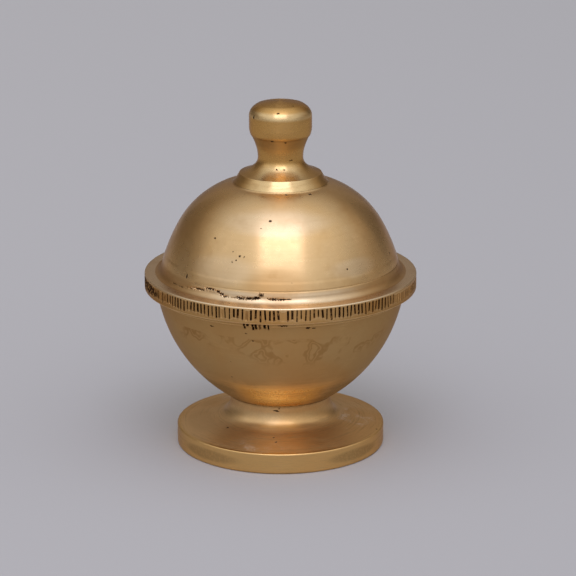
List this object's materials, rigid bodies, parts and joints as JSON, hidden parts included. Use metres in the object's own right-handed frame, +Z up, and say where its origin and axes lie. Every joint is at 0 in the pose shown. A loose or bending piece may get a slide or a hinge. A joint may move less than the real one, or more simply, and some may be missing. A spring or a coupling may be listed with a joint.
{
  "type": "kumkum box",
  "caption": "Footed round brass box for kumkum powder, with a lift-off domed lid, a notched flange and a round knob.",
  "frame": {"origin": "centre of the foot's underside, on the surface the box stands on", "axes": "+Z up along the axis that every piece is turned about; X and Y are any two level directions"},
  "size_m": [0.06, 0.06, 0.0778],
  "materials": {
    "cast_brass": "satin, with fine turning lines and casting pits",
    "turned_brass": "satin, turned, a little darker and worn",
    "fixing_brass": "dull, darkened with age"
  },
  "bodies": {
    "base": {"foot": "turned_brass", "bowl": "cast_brass", "foot_washer": "fixing_brass", "foot_screw": "fixing_brass"},
    "cover": {"lid": "cast_brass", "knob": "turned_brass", "knob_washer": "fixing_brass", "knob_screw": "fixing_brass"}
  },
  "joints": [
    {"name": "lid_lift", "type": "slide", "parent": "base", "child": "cover", "axis": [0, 0, 1], "range_m": [0, 0.06]}
  ]
}
